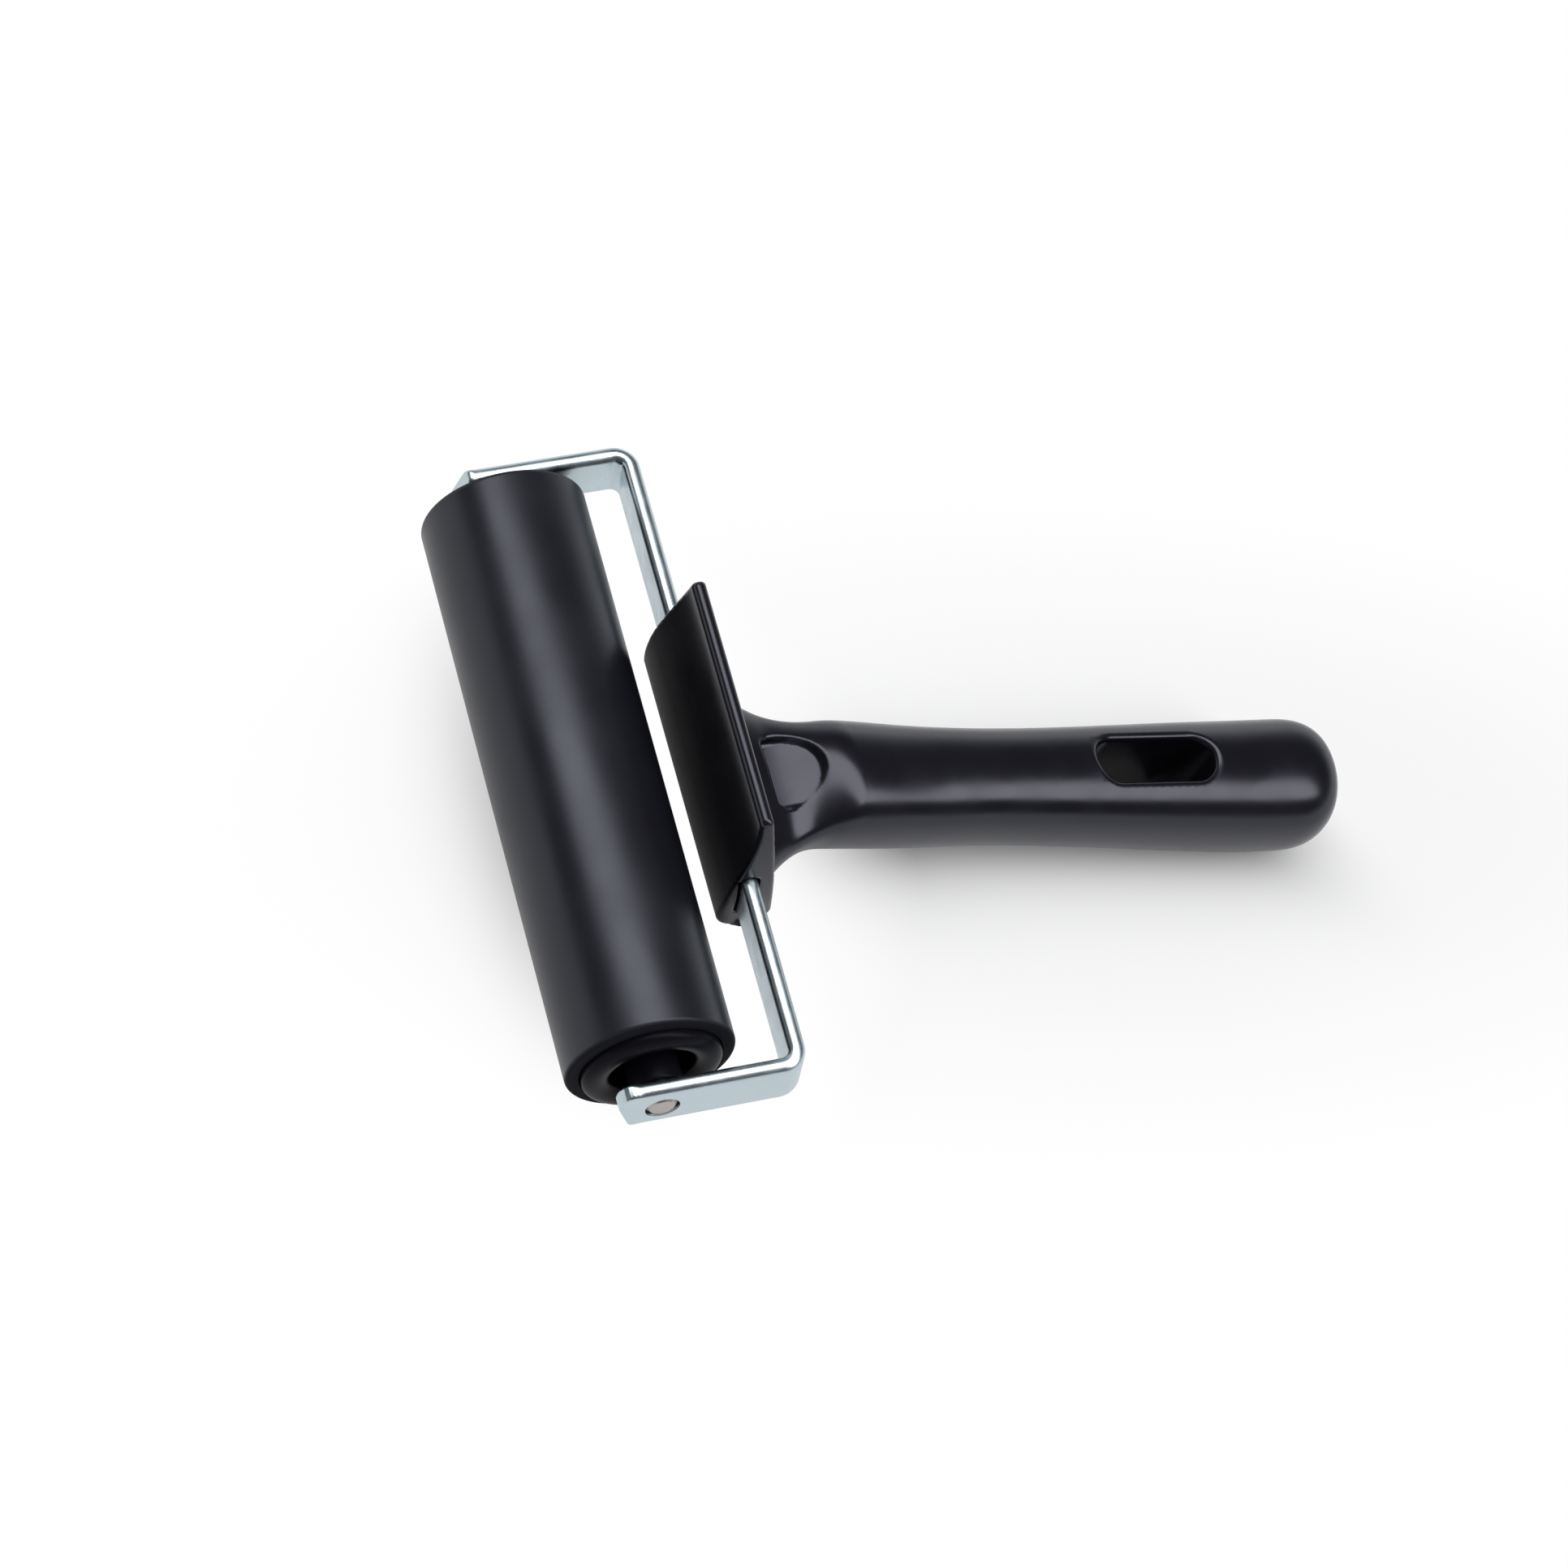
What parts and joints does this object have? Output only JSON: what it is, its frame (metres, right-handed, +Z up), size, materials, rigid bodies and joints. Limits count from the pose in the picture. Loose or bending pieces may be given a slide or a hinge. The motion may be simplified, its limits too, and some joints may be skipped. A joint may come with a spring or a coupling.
{
  "type": "rubber brayer",
  "caption": "Hand roller for inking and pressing: a rubber-covered roller turning on an axle between the arms of a bent steel strap, with a moulded black handle.",
  "frame": {"origin": "middle of the footprint on the table, with the tool lying on its roller and on the end of its handle", "axes": "+X along the roller's axle, +Y from the roller to the end of the handle, +Z up from the table"},
  "size_m": [0.114, 0.1538, 0.0387],
  "materials": {
    "black_plastic": "satin moulded",
    "zinc_plate": "bright zinc plate",
    "bare_steel": "turned",
    "grey_plastic": "extruded",
    "black_rubber": "ground satin"
  },
  "bodies": {
    "frame": {"handle": "black_plastic", "strap_frame": "zinc_plate", "axle": "bare_steel"},
    "roller": {"rubber_sleeve": "black_rubber", "core_tube": "grey_plastic", "end_plug_left": "black_plastic", "end_plug_right": "black_plastic"}
  },
  "joints": [
    {"name": "roller_spin", "type": "hinge", "parent": "frame", "child": "roller", "pos_m": [0, -0.06345, 0.0135], "axis": [1, 0, 0], "continuous": true}
  ]
}
